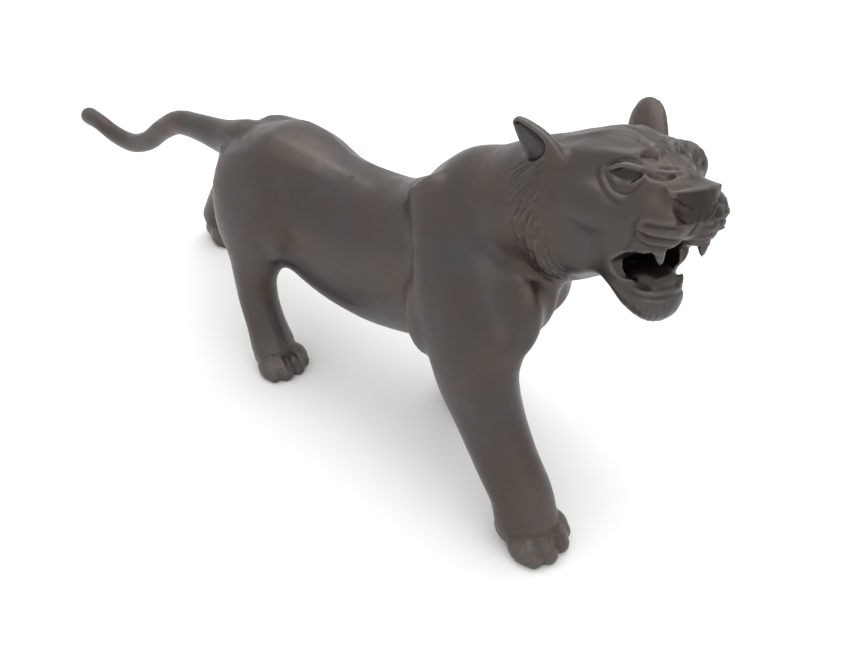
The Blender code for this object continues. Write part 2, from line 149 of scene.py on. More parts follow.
def addLoft(bm, rows, place=figure, rounding=0.6, up=(0, 0, 1)):  # x, y, z, half width, above, below
    length = sum(math.dist(a[:3], b[:3]) for a, b in zip(rows, rows[1:]))
    rows = curveThrough(rows, max(sculpting["fewestRings"], int(length / sculpting["ringGap"])))
    tangents = np.gradient(rows[:, :3], axis=0)
    ends = []
    for end, way in ((0, -1), (-1, 1)):
        reach = rounding * min(rows[end][3:5])
        for step in sculpting["endSteps"]:
            row = rows[end].copy()
            turn = step * math.pi / 2
            aim = tangents[end] / np.linalg.norm(tangents[end])
            row[:3] += way * aim * reach * math.sin(turn)
            row[3:] *= math.cos(turn)
            ends.append((end, row, tangents[end]))
    first = [(r, t) for e, r, t in ends if e == 0][::-1]
    last = [(r, t) for e, r, t in ends if e == -1]
    rings = []
    for row, tangent in first + list(zip(rows, tangents)) + last:
        aim = Vector(tangent).normalized()
        side = aim.cross(Vector(up)).normalized()
        top = side.cross(aim).normalized()
        ring = []
        for k in range(sculpting["sides"]):
            turn = 2 * math.pi * k / sculpting["sides"]
            height = row[4] if math.sin(turn) > 0 else row[5]
            point = Vector(row[:3]) + side * row[3] * math.cos(turn) + top * height * math.sin(turn)
            ring.append(bm.verts.new(place @ (point * mm)))
        rings.append(ring)
    for low, high in zip(rings, rings[1:]):
        for k in range(sculpting["sides"]):
            n = (k + 1) % sculpting["sides"]
            bm.faces.new((low[k], high[k], high[n], low[n]))
    bm.faces.new(rings[0])
    bm.faces.new(rings[-1][::-1])


def addTube(bm, points, up=(0, 0, 1), place=figure, rounding=1.0):  # round tube through (x, y, z, radius)
    addLoft(bm, [(*p[:3], p[3], p[3], p[3]) for p in points], place, rounding, up)


def addEllipsoid(bm, centre, radii, turn=(0, 0, 0), place=figure):  # turned by degrees about X, Y and Z
    spin = Matrix.Identity(4)
    for angle, axis in zip(turn, "XYZ"):
        spin = Matrix.Rotation(math.radians(angle), 4, axis) @ spin
    shape = Matrix.Translation(Vector(centre) * mm) @ spin @ Matrix.Diagonal((*radii, 1))
    shape = place @ shape @ Matrix.Diagonal((mm, mm, mm, 1))
    bmesh.ops.create_icosphere(bm, subdivisions=sculpting["ball"], radius=1, matrix=shape)


def addMuscle(bm, start, end, width, thickness):  # long ellipsoid, flat against the tiger's side
    start, end = Vector(start), Vector(end)
    aim = (end - start).normalized()
    across = aim.cross(Vector((0, 1, 0))).normalized()
    out = across.cross(aim).normalized()
    spin = Matrix((across, out, aim)).transposed().to_4x4()
    length = (end - start).length / 2 + width * body["muscleEnds"]
    shape = Matrix.Translation((start + end) / 2 * mm) @ spin
    shape = shape @ Matrix.Diagonal((width * mm, thickness * mm, length * mm, 1))
    bmesh.ops.create_icosphere(bm, subdivisions=sculpting["ball"], radius=1, matrix=shape)


def fused(bm, voxel, fill, smooth):  # one skin round every form, its creases filled, its surface smoothed
    holder = linked("forms", meshFrom(bm, "forms"))
    remesh = holder.modifiers.new("Remesh", "REMESH")
    remesh.mode = "VOXEL"
    remesh.voxel_size = voxel * mm
    skin = evaluated(holder)
    bpy.data.objects.remove(holder)
    points = pointsOf(skin)
    edges = edgesOf(skin)
    points = smoothed(points, edges, sculpting["blocks"])
    points = filled(skin, points, edges, fill)
    points = smoothed(points, edges, smooth)
    putPoints(skin, points)
    return skin


def pointsOf(mesh, kind="co"):
    flat = np.empty(len(mesh.vertices) * 3, np.float32)
    mesh.vertices.foreach_get(kind, flat)
    return flat.reshape(-1, 3).astype(float)


def normalsOf(mesh):
    return pointsOf(mesh, "normal")


def edgesOf(mesh):
    flat = np.empty(len(mesh.edges) * 2, np.int32)
    mesh.edges.foreach_get("vertices", flat)
    return flat.reshape(-1, 2)


def putPoints(mesh, points):
    mesh.vertices.foreach_set("co", points.astype(np.float32).ravel())
    mesh.update()


def keep(mesh, name, values):  # one number to each point, for the finish or the fur
    mesh.attributes.new(name, "FLOAT", "POINT").data.foreach_set("value", values.astype(np.float32))


def meshFrom(bm, name):
    mesh = bpy.data.meshes.new(name)
    bm.to_mesh(mesh)
    bm.free()
    return mesh


def formFrom(mesh):
    bm = bmesh.new()
    bm.from_mesh(mesh)
    return bm


def linked(name, data):  # an object in the scene
    holder = bpy.data.objects.new(name, data)
    bpy.context.scene.collection.objects.link(holder)
    return holder


def evaluated(holder):  # its mesh with the modifiers taken in
    graph = bpy.context.evaluated_depsgraph_get()
    return bpy.data.meshes.new_from_object(holder.evaluated_get(graph))


def neighbourMean(points, edges):
    count = np.bincount(edges.ravel(), minlength=len(points)).astype(float)
    total = np.empty_like(points)
    for k in range(3):
        total[:, k] = np.bincount(edges[:, 0], points[edges[:, 1], k], len(points))
        total[:, k] += np.bincount(edges[:, 1], points[edges[:, 0], k], len(points))
    return total / np.maximum(count, 1)[:, None]


def smoothed(points, edges, rounds):  # smoothing that gives back what it shrinks
    for _ in range(rounds):
        points = points + sculpting["ease"] * (neighbourMean(points, edges) - points)
        points = points - sculpting["giveBack"] * (neighbourMean(points, edges) - points)
    return points


def filled(mesh, points, edges, rounds):  # fills only hollows, so that crowns stay where they are
    for turn in range(rounds):
        if turn % 4 == 0:  # the normals change slowly
            putPoints(mesh, points)
            normals = normalsOf(mesh)
        lift = ((neighbourMean(points, edges) - points) * normals).sum(axis=1)
        points = points + normals * np.maximum(lift, 0)[:, None]
    return points


def headMatrix():  # from head millimetres to the figure
    turn = Matrix.Rotation(math.radians(headPose["turn"]), 4, "Z")
    lift = Matrix.Rotation(math.radians(-headPose["lift"]), 4, "Y")
    tilt = Matrix.Rotation(math.radians(headPose["tilt"]), 4, "X")
    return Matrix.Translation(Vector(headPose["place"]) * mm) @ turn @ lift @ tilt


def addTrunk(bm):  # trunk, neck, tail and muscles
    addLoft(bm, [(x, 0, z, w, up, down) for x, z, w, up, down in body["trunk"]])
    addLoft(bm, body["neck"])
    addTube(bm, body["tail"])
    for muscle in body["muscles"]:
        addMuscle(bm, *muscle)


def addLegs(bm):
    for leg in (body["rightFore"], body["leftFore"], body["rightHind"], body["leftHind"]):
        addLoft(bm, [(x, y, z, w, d, d) for x, y, z, d, w in leg], up=(1, 0, 0))


skull = {  # main masses of the head, in head millimetres and degrees
    "lofts": (  # brain case with muzzle, lower jaw, bridge of the nose: rounding of the ends, then sections
        (0.6, (
            (-46, 0, -3, 22, 14.5, 17), (-32, 0, 1, 26, 20.5, 20), (-16, 0, 2.5, 27, 22.6, 20),
            (-2, 0, 3, 25, 23.6, 19), (10, 0, 2, 21.5, 20.6, 18), (19, 0, 0.5, 18, 17, 17),
            (28, 0, -2.5, 15.5, 14, 13.5), (34, 0, -4, 14, 10, 11),
        )),
        (0.4, (
            (-16, 0, -23, 20, 8, 9), (-3, 0, -28, 18.5, 6, 6.5), (6, 0, -34, 17, 6, 7.5),
            (12, 0, -39, 14.5, 8, 11.5), (17, 0, -41.5, 12.5, 8.5, 11), (20, 0, -41.5, 11.5, 8.5, 10),
        )),
        (0.3, (
            (16, 0, 11, 6, 7, 9), (24, 0, 9, 6.5, 7, 9), (31, 0, 5, 7.5, 6.5, 8), (36, 0, 1.5, 7, 4, 6),
        )),
    ),
    "chin": ((15.5, 0, -43), (9.5, 12, 9.5)),
    "pairs": (  # on both sides: middle, radii and turn of each left form, then a ridge's points and radii
        (
            (
                ((-3, 19, -2), (21, 12, 14), (0, 8, -10)),
                ((-17, 18, -14), (19, 13, 22), (0, -12, 0)),  # cheek
                ((8, 14, -21), (12, 6.5, 14), (0, 25, 0)),  # corner of the mouth
                ((27, 10, -7), (13.5, 9, 12), (0, 14, -12)),  # whisker pad
                ((18.5, 4.2, 18.4), (4.6, 2.8, 2.8), (0, 20, -20)),
            ),
            ((-25, 30, 8, 4), (-27, 32, -6, 5), (-24, 30, -20, 5), (-19, 23, -32, 5), (-16, 13, -34, 3.5)),
        ),  # cheeks and ruff
        (
            (
                ((15, 13, -8), (16, 8, 11), (0, 12, -16)),
                ((20, 11.5, -14), (14, 6.5, 7), (0, 28, -12)),
            ),
            ((21, 5.5, 15, 4.2), (12, 11.5, 15.5, 5), (1, 16.5, 15.5, 6), (-12, 21.5, 13, 7)),
        ),  # lips and brow
    ),
    "left": (  # forms on the left only
        ((9, 20, 9.5), (12.5, 8.5, 10), (0, 0, 0)),
        ((30, 13.6, -6), (10, 7.2, 10.5), (0, 14, -8)),
    ),
}

mouth = {  # in head millimetres: sections of place, half width, above, below
    "hollow": (
        (48, 0, -25, 12, 9, 7), (32, 0, -25.5, 10.5, 7.5, 8), (20, 0, -27, 13, 9, 10),
        (9, 0, -27.5, 13.6, 9, 9), (-4, 0, -26, 10, 6, 6),
    ),
    "slot": (
        (14, 0, -28.4, 36, 4.5, 4.5), (19, -0.8, -27.9, 36, 6.8, 6.2), (24, -2.1, -27.2, 36, 7.6, 7),
        (31, -4, -26, 36, 7, 6.6), (38, -5.9, -24.4, 36, 8, 7.4), (53, -9.9, -23, 36, 10, 8),
    ),
    "slotEnds": 0.05,
    "tongue": (
        (2, 0, -33, 9, 4, 8), (10, 0, -33, 9.5, 5, 8), (17, 0, -33, 8.5, 4.5, 7), (22, 0, -34, 6.5, 3, 5),
    ),
    "fang": ((30.4, 11.8, -17), (30.4, 11, -24.6), 2.5),  # root, tip, radius
    "lowerTooth": ((22, 7, -36), (23.6, 7.2, -32), 1.3),
}


def addSkull(bm, head):  # brain case, cheeks, muzzle and lower jaw
    for rounding, sections in skull["lofts"]:
        addLoft(bm, sections, head, rounding)
    addEllipsoid(bm, *skull["chin"], place=head)
    for side in (-1, 1):
        for forms, ridge in skull["pairs"]:
            for (x, y, z), radii, (roll, pitch, yaw) in forms:
                addEllipsoid(bm, (x, y * side, z), radii, (roll, pitch, yaw * side), head)
            addTube(bm, [(x, y * side, z, radius) for x, y, z, radius in ridge], place=head)
    for middle, radii, turn in skull["left"]:
        addEllipsoid(bm, middle, radii, turn, head)


def spacesOfFace(head):  # hollow of the mouth, its slot through both cheeks, eye sockets and ear cups
    inner = bmesh.new()
    addLoft(inner, mouth["hollow"], head)
    outer = bmesh.new()
    addLoft(outer, mouth["slot"], head, mouth["slotEnds"])
    sockets = bmesh.new()
    for side in (-1, 1):
        middle = (16.4 - side, eyePlace(16.4 - side, side), 10.7)
        height = 3.5 if side < 0 else 3.2
        addEllipsoid(sockets, middle, (6.9, 4.6, height), (0, 0, eye["slant"] * side), head)
    cups = bmesh.new()
    for side in (-1, 1):
        addEar(cups, head, side, True)
    return inner, outer, sockets, cups


eye = {  # in head millimetres and degrees, for the right side
    "ball": (13.4, 11, 10),
    "radii": (7.2, 7.1, 6.7),
    "fullerRight": 1.02,
    "fullerLeft": 1.1,
    "leftShift": 5.5,  # how much further out the left eye sits
    "slant": -34,
    "lids": (  # along, out, up, radius
        ((23, 9.4, 9.2, 0.8), (19.6, 14.2, 12.9, 1.1), (15, 17.8, 14, 1.2), (9, 20.2, 12, 0.9)),
        ((23, 9.6, 8.6, 0.8), (20, 14.8, 7.3, 1.0), (15, 18.4, 7.6, 1.0), (9, 20.4, 11, 0.8)),
    ),
}


def eyePlace(out, side):  # distance across the head for a point of the eye
    return side * out + (eye["leftShift"] if side > 0 else 0)


def addNosePad(bm, head):
    nose = []
    for x, y, z in (
        (43, 0, 6), (42, 6, 6.2), (38.5, 13.6, 5.2), (38.5, 11, 0.5), (42.2, 6.5, -2.5),
        (43, 2.5, -7.5), (29, 10, 8), (28, 11, 2), (32, 4, -9),
    ):
        for side in (-1, 1) if y else (1,):
            nose.append(bm.verts.new(head @ (Vector((x, y * side, z)) * mm)))
    bmesh.ops.convex_hull(bm, input=nose)


def addSmallForms(bm, head):  # tongue, eyes, lids and teeth
    addLoft(bm, mouth["tongue"], head)
    for side in (-1, 1):
        backing = (13.8 - side, eyePlace(12.6 - side, side), 10.6)
        addEllipsoid(bm, backing, (10, 3.6, 5.5), (0, 0, eye["slant"] * side), head)
        fuller = eye["fullerLeft"] if side > 0 else eye["fullerRight"]
        along, out, up = eye["ball"]
        radii = [radius * fuller for radius in eye["radii"]]
        addEllipsoid(bm, (along, eyePlace(out, side), up), radii, place=head)
        for lid in eye["lids"]:
            addTube(bm, [(x, eyePlace(y, side), z, radius) for x, y, z, radius in lid], place=head)
        root, tip, radius = mouth["fang"]
        tooth(bm, head, (root[0], root[1] * side, root[2]), (tip[0], tip[1] * side, tip[2]), radius)
    tooth(bm, head, *mouth["lowerTooth"])


def tooth(bm, head, root, tip, radius):  # thins from the root to a blunt tip
    blunt = 0.35
    points = []
    for t in (0, 0.25, 0.5, 0.75, 1):
        place = Vector(root).lerp(Vector(tip), t)
        points.append((*place, radius * (1 - t) ** 0.6 + blunt))
    addTube(bm, points, up=(1, 0, 0), place=head, rounding=0.8)


def addEar(bm, head, side, hollow):  # one ear, or the hollow of its cup, which faces outward
    root = Vector((-20, 28.5 * side, 15))
    tip = Vector((-30.5, 36 * side, 32 if side < 0 else 33.5))
    across = Vector((15, 3 * side, 8))
    out = (tip - root).cross(across)
    out = (out if out.y * side > 0 else -out).normalized()
    cupSteps = (0.24, 0.34, 0.44, 0.56, 0.7, 0.82)
    earSteps = (-0.5, -0.2, 0, 0.2, 0.4, 0.6, 0.8, 0.92)
    blunt = 1.6 if side < 0 else 3.4  # the left tip is rounder
    sections = []
    for t in cupSteps if hollow else earSteps:
        wide = 11.5 * (1 - max(0, t) ** blunt) ** 0.7
        spot = root.lerp(tip, t)
        if hollow:
            spot = spot + out * 1.2
            sections.append((*spot, wide - 2, 9, 0.36 * wide - 0.6))
        else:
            sections.append((*spot, wide, 1.6, 0.5 * wide + 1))
    addLoft(bm, sections, head, 0.5, out)


def addPaw(bm, x, y, heading, size):  # wrist, instep and four toes, each with its tip
    place = Matrix.Translation(Vector((x, y, 0)) * mm)
    place = place @ Matrix.Rotation(math.radians(heading), 4, "Z") @ Matrix.Scale(size, 4)
    addEllipsoid(bm, (-3, 0, 9), (15, 13.5, 10.5), place=place)
    addEllipsoid(bm, (-1, 0, 14), (12, 11.5, 12), place=place)
    for out, along, across in ((0.5, 10, 4.8), (0.9, 6, 11.6)):
        for side in (-1, 1):
            aim = 10 * side * out
            addEllipsoid(bm, (along, across * side, 7), (9.5, 6.8, 8.9), (0, 10, aim), place)
            tip = Vector((along + 6.6, across * side * 1.04, 4.4))
            addEllipsoid(bm, tip, (4.8, 5, 5.6), (0, 0, aim), place)


def flatSoled(mesh):  # cuts the soles flat at the floor
    bm = formFrom(mesh)
    geometry = bm.verts[:] + bm.edges[:] + bm.faces[:]
    bmesh.ops.bisect_plane(
        bm, geom=geometry, dist=1e-7, plane_co=(0, 0, 0), plane_no=(0, 0, 1), clear_inner=True
    )
    rims = [e for e in bm.edges if e.is_boundary]
    bmesh.ops.holes_fill(bm, edges=rims, sides=0)
    bmesh.ops.triangulate(bm, faces=bm.faces[:])
    bm.to_mesh(mesh)
    bm.free()
    return mesh


def cut(mesh, spaces):  # takes the form in each bmesh away from the mesh
    whole = linked("whole", mesh)
    tools = []
    for bm in spaces:
        tools.append(linked("space", meshFrom(bm, "space")))
        modifier = whole.modifiers.new("Boolean", "BOOLEAN")
        modifier.operation = "DIFFERENCE"
        modifier.solver = "EXACT"
        modifier.object = tools[-1]
    rest = evaluated(whole)
    for holder in (whole, *tools):
        bpy.data.objects.remove(holder)
    return rest


furLocks = {  # raised tufts of the ruff, in millimetres
    "length": 7,
    "width": 1.2,
    "rise": 0.3,
    "corners": 6,
    "sizeSeed": 3,
}

furInputs = {  # what the tree that scatters them is given
    "Density": 120000.0,  # locks to a square metre, where the fur is full
    "Smallest": 0.55,  # the least and the most that a lock is scaled by
    "Largest": 1.15,
    "Stray": 0.3,
    "Seed": 11,
}


def lockShape():  # one low tapered tuft, its root at the origin and its tip along +X
    bm = bmesh.new()
    corners = furLocks["corners"]
    rings = []
    for along, wide, rise in ((0, 0.35, 0.5), (0.25, 1, 1), (0.55, 0.8, 0.9), (0.85, 0.35, 0.5)):
        ring = []
        for k in range(corners):
            turn = 2 * math.pi * k / corners
            y = wide * furLocks["width"] / 2 * math.cos(turn)
            z = rise * furLocks["rise"] * math.sin(turn)
            ring.append(bm.verts.new(Vector((along * furLocks["length"], y, z)) * mm))
        rings.append(ring)
    tip = bm.verts.new(Vector((furLocks["length"], 0, 0)) * mm)
    for low, high in zip(rings, rings[1:]):
        for k in range(corners):
            n = (k + 1) % corners
            bm.faces.new((low[k], high[k], high[n], low[n]))
    for k in range(corners):
        bm.faces.new((rings[-1][k], tip, rings[-1][(k + 1) % corners]))
    bm.faces.new(rings[0])
    bmesh.ops.recalc_face_normals(bm, faces=bm.faces[:])
    return linked("lock", meshFrom(bm, "lock"))


def inHead(points, head):  # the same points in head millimetres
    return (points - np.array(head.translation)) @ np.array(head.to_3x3()) / mm


def ramp(value, low, high):  # soft step from 0 at low to 1 at high
    t = np.clip((value - low) / (high - low), 0, 1)
    return t * t * (3 - 2 * t)


def offRuff(x, z):  # how far ahead of the ruff's crest a head point lies
    return x + 21.5 + 0.1 * (z + 11)


def furField(points, head):  # how thick the locks stand at each point, and the way they lie
    spots = inHead(points, head)
    x, y, z = spots.T
    out = np.abs(y)
    ahead = offRuff(x, z)
    ruff = ramp(ahead, -10, -6) * ramp(-ahead, -5, -1) * ramp(out, 12, 18) * ramp(-z, -12, -4)
    thick = ruff * ramp(z, -42, -34)
    flow = np.stack([-1 - z / 22, np.zeros_like(x), -np.ones_like(x)], axis=1)
    return thick, flow @ np.array(head.to_3x3()).T


def node(tree, kind, settings={}, links={}):  # adds a node, with its settings and what feeds its sockets
    made = tree.nodes.new(kind)
    for name, value in settings.items():
        setattr(made, name, value)
    for name, value in links.items():
        if isinstance(value, bpy.types.NodeSocket):
            tree.links.new(value, made.inputs[name])
        else:
            made.inputs[name].default_value = value
    return made


def product(tree, one, other):
    return node(tree, "ShaderNodeMath", {"operation": "MULTIPLY"}, {0: one, 1: other}).outputs[0]


def furTree(lock, finish):  # scatters locks over a skin, each lying along the skin's flow
    tree = bpy.data.node_groups.new("furLocks", "GeometryNodeTree")
    face = tree.interface
    face.new_socket("Skin", in_out="INPUT", socket_type="NodeSocketGeometry")
    for name, value in furInputs.items():
        kind = "NodeSocketInt" if isinstance(value, int) else "NodeSocketFloat"
        face.new_socket(name, in_out="INPUT", socket_type=kind).default_value = value
    face.new_socket("Fur", in_out="OUTPUT", socket_type="NodeSocketGeometry")

    given = node(tree, "NodeGroupInput").outputs
    named, align = "GeometryNodeInputNamedAttribute", "FunctionNodeAlignRotationToVector"
    thick = node(tree, named, {"data_type": "FLOAT"}, {"Name": "thick"}).outputs[0]
    flow = node(tree, named, {"data_type": "FLOAT_VECTOR"}, {"Name": "flow"}).outputs[0]
    density = product(tree, thick, given["Density"])
    sockets = {"Mesh": given["Skin"], "Density": density, "Seed": given["Seed"]}
    random = {"distribute_method": "RANDOM"}
    spread = node(tree, "GeometryNodeDistributePointsOnFaces", random, sockets).outputs

    sockets = {"Min": (-1, -1, -1), "Max": (1, 1, 1), "Seed": given["Seed"]}
    stray = node(tree, "FunctionNodeRandomValue", {"data_type": "FLOAT_VECTOR"}, sockets).outputs[0]
    sockets = {0: stray, "Scale": given["Stray"]}
    stray = node(tree, "ShaderNodeVectorMath", {"operation": "SCALE"}, sockets).outputs[0]
    way = node(tree, "ShaderNodeVectorMath", {"operation": "ADD"}, {0: flow, 1: stray}).outputs[0]
    upright = node(tree, align, {"axis": "Z"}, {"Vector": spread["Normal"]}).outputs[0]
    sockets = {"Rotation": upright, "Vector": way}
    laid = node(tree, align, {"axis": "X", "pivot_axis": "Z"}, sockets).outputs[0]

    sockets = {"Min": given["Smallest"], "Max": given["Largest"], "Seed": furLocks["sizeSeed"]}
    size = node(tree, "FunctionNodeRandomValue", {"data_type": "FLOAT"}, sockets).outputs[1]
    single = node(tree, "GeometryNodeObjectInfo", {}, {"Object": lock}).outputs["Geometry"]
    sockets = {"Points": spread["Points"], "Instance": single, "Rotation": laid, "Scale": size}
    placed = node(tree, "GeometryNodeInstanceOnPoints", {}, sockets)
    real = node(tree, "GeometryNodeRealizeInstances", {}, {0: placed.outputs[0]})
    sockets = {"Geometry": real.outputs[0], "Material": finish}
    dressed = node(tree, "GeometryNodeSetMaterial", {}, sockets)
    node(tree, "NodeGroupOutput", {}, {"Fur": dressed.outputs[0]})
    return tree


def grownFur(skin, head, finish):  # mesh of the locks on that skin
    thick, flow = furField(pointsOf(skin), head)
    keep(skin, "thick", thick)
    lying = skin.attributes.new("flow", "FLOAT_VECTOR", "POINT")
    lying.data.foreach_set("vector", flow.astype(np.float32).ravel())
    lock = lockShape()
    holder = linked("skin", skin)
    modifier = holder.modifiers.new("fur", "NODES")
    modifier.node_group = furTree(lock, finish)
    for item in modifier.node_group.interface.items_tree:
        if item.name in furInputs:
            modifier[item.identifier] = furInputs[item.name]
    fur = evaluated(holder)
    holder.modifiers.remove(modifier)
    bpy.data.objects.remove(holder)
    bpy.data.objects.remove(lock)
    return fur


chasing = {  # lines of the face: half width, height, whether on both sides, points in head millimetres
    "lowerLid": (0.8, 0.5, True, (
        (23.2, -12.2, 9.9), (21, -15.5, 6.9), (17.5, -18.2, 6.4), (13, -19.9, 8.3)
    )),
    "underLid": (0.9, -0.5, True, ((24, -12.5, 7.5), (20.5, -16.5, 3.8), (15.5, -19.5, 3), (11, -21, 6))),
    "outerFold": (1, 0.9, True, (
        (7.7, -20.7, 12.6), (9.9, -21.5, 7.5), (13.5, -21, 3.6), (18.9, -18.6, 1.2)
    )),
    "outerCrease": (1.4, -0.3, True, (
        (5, -21, 13), (7.2, -21.9, 6.6), (12, -21.6, 1.2), (18.6, -18.9, -1.4)
    )),
    "upperLid": (1, 0.55, True, ((11, -19.2, 12.2), (15.4, -18.6, 14), (18, -15.2, 14.6), (22, -12, 12.6))),
    "lidCrease": (0.8, -0.55, True, (
        (9.5, -19.6, 14.4), (13.7, -17, 16.4), (18.3, -13.3, 16.2), (22.6, -11.4, 13.9)
    )),
    "tearCrease": (0.9, -0.8, True, (
        (23.6, -12.6, 10.6), (27.3, -11.5, 9.5), (29.7, -9.6, 9.2), (32.1, -5.3, 10)
    )),
    "tearFold": (1.1, 0.5, True, ((25.6, -10.4, 12.2), (28.4, -8.4, 12.4), (31.4, -5.4, 12))),
    "noseFold": (1, 0.4, True, ((25.3, -3.6, 15.4), (30, -4.6, 12.8), (36, -6, 8.6))),
    "bridgeCrease": (0.7, -0.55, True, ((26, -9, 13), (29.4, -5.6, 12.8), (31.5, -1.6, 12.4))),
    "bridgeLine": (0.7, -0.5, True, ((27.4, -10.2, 10.8), (31.6, -6.6, 10.6), (34, -2, 10.6))),
    "browPit": (2.4, -1.9, True, ((18.4, -11.6, 17.6), (21.6, -9.2, 17), (24, -5.8, 16.6))),
    "browKnob": (2.4, 1.3, True, ((12, -5.4, 21.4), (17, -5, 19.8), (20.8, -5, 18.6))),
    "browRidge": (2.4, 0.8, True, ((-20, -14, 22), (-8, -11, 24), (2.5, -6.6, 23.6), (12, -4.6, 21.4))),
    "frown": (1.5, -0.55, False, ((-6.6, -1, 25), (4, -0.6, 23.6), (12, 0, 21.2), (22, 0, 17.6))),
    "frownSide": (0.6, -0.5, True, ((13, 2.6, 20.8), (18, 1.8, 19.2), (23, 1.6, 17))),
    "noseEdge": (0.7, 0.5, True, ((38.9, -13.2, 5.6), (42, -6, 6.3), (43, 0, 6.2))),
    "nostril": (0.8, -1, True, ((38.6, -11.6, 2), (40.4, -9.6, 0.2), (41.8, -6.4, -1), (42.2, -4.4, -2.8))),
    "nostrilWing": (0.8, 0.5, True, ((39.5, -11.2, -1.2), (41.5, -7, -3.4), (42.4, -3, -5.4))),
    "noseFoot": (0.9, -0.9, True, (
        (38.2, -12.8, 1.2), (39.4, -10.2, -3.6), (40.6, -5.6, -7.4), (40.6, -1, -9.6)
    )),
    "philtrum": (0.9, -1.3, False, ((42.6, 0, -5), (41, 0, -9), (39.4, -0.2, -12.5), (37, -0.2, -16))),
    "whiskerRow1": (0.95, 0.5, True, (
        (28.4, -18.2, -5.6), (31.7, -17.8, -5.4), (35, -15.8, -6), (39, -10.5, -6.8)
    )),
    "whiskerGap1": (0.95, -0.7, True, (
        (28, -18.4, -7.6), (32, -17.6, -7.8), (36, -14.8, -8.4), (39.4, -9.5, -9)
    )),
    "whiskerRow2": (0.95, 0.5, True, (
        (27, -18.6, -9.6), (31, -17.6, -10.4), (35, -15, -11), (38.8, -9.5, -11.4)
    )),
    "whiskerGap2": (0.95, -0.7, True, (
        (26.4, -18, -11.8), (30.6, -16.8, -12.8), (34.6, -14.4, -13.2), (38, -8.6, -13.4)
    )),
    "whiskerRow3": (0.95, 0.5, True, (
        (26.6, -17.2, -14.2), (30.6, -15.8, -15.2), (34.4, -13, -15.4), (37.4, -7.6, -15.4)
    )),
    "lipEdge": (0.8, 0.5, True, (
        (22, -15.2, -19.6), (27.2, -14.9, -19.2), (30.6, -13.6, -19.4), (35, -9, -17.6)
    )),
    "cheekFold": (1.6, -0.7, True, (
        (26.9, -18.6, -3.4), (23.4, -19.1, -8.8), (21.2, -18, -15.3), (16, -16.6, -20)
    )),
    "chinFold": (0.9, -0.6, True, (
        (14.5, -13, -38.2), (20.9, -10.4, -39.6), (23.6, -5.8, -40.4), (24.4, 0, -40)
    )),
    "chinRoll": (1.1, 0.5, True, (
        (15.6, -12.6, -36.4), (20.6, -10.6, -37.6), (23.4, -5.8, -38.2), (24.2, 0, -38)
    )),
}

modelling = {  # muscle lines of the body, as above but with points in the figure's millimetres
    "hipCrest": (3, 0.8, True, (
        (-84, -11, 133), (-57, -12, 135), (-40, -9, 133), (-18, -8, 129), (2, -11, 128)
    )),
    "hipHollow": (4.5, -0.6, True, ((-72, -23, 127), (-50, -24, 127), (-30, -21, 125), (-10, -20, 121))),
    "thighFront": (5, -0.9, True, ((-34, -22, 121), (-40, -31, 101), (-46, -33, 81))),
    "elbowFold": (3, -0.4, False, ((52, -29, 138), (60, -36, 125), (68, -42, 113), (77, -49, 96))),
    "elbowRidge": (2.5, 0.6, False, ((45, -27, 136), (55, -37, 115), (68, -46, 98))),
}


def latticeNoise(u, v, seed):  # smooth noise from -1 to 1 over two coordinates
    column, row = np.floor(u).astype(np.int64), np.floor(v).astype(np.int64)
    a, b = u - column, v - row
    a, b = a * a * (3 - 2 * a), b * b * (3 - 2 * b)

    def corner(i, j):
        mixed = (i * 374761393 + j * 668265263 + seed * 974634777) & 0x7FFFFFFF
        mixed = ((mixed ^ (mixed >> 13)) * 1274126177) & 0x7FFFFFFF
        return (mixed & 0xFFFF) / 32767.5 - 1

    low = corner(column, row) * (1 - a) + corner(column + 1, row) * a
    high = corner(column, row + 1) * (1 - a) + corner(column + 1, row + 1) * a
    return low * (1 - b) + high * b


hairRegions = {  # engraved hair: width, length and depth in millimetres, strength of its fine strokes
    "ruff": (1.6, 11, 0.28, 1),
    "throat": (1.5, 8, 0.12, 0.6),
    "chin": (1.3, 8, 0.18, 0.7),
    "brow": (1.7, 5, 0.34, 0.6),
    "ears": (1.4, 7, 0.05, 0.22),
    "leftPad": (2.6, 3, 0.5, 0.2),
    "cheek": (1.4, 8, 0, 0.25),
}

strokes = {  # common to all of the engraved hair, in millimetres
    "reach": 92,  # from between the eyes
    "sway": 0.9,  # how far a stroke wanders
    "swaySize": 7,
    "swaySeed": 40,
    "branches": 0.5,  # weight of the finer strokes inside the broad ones
    "branchSeed": 9,
    "flat": 0.8,  # cuts the crests off, as a chisel leaves them
}


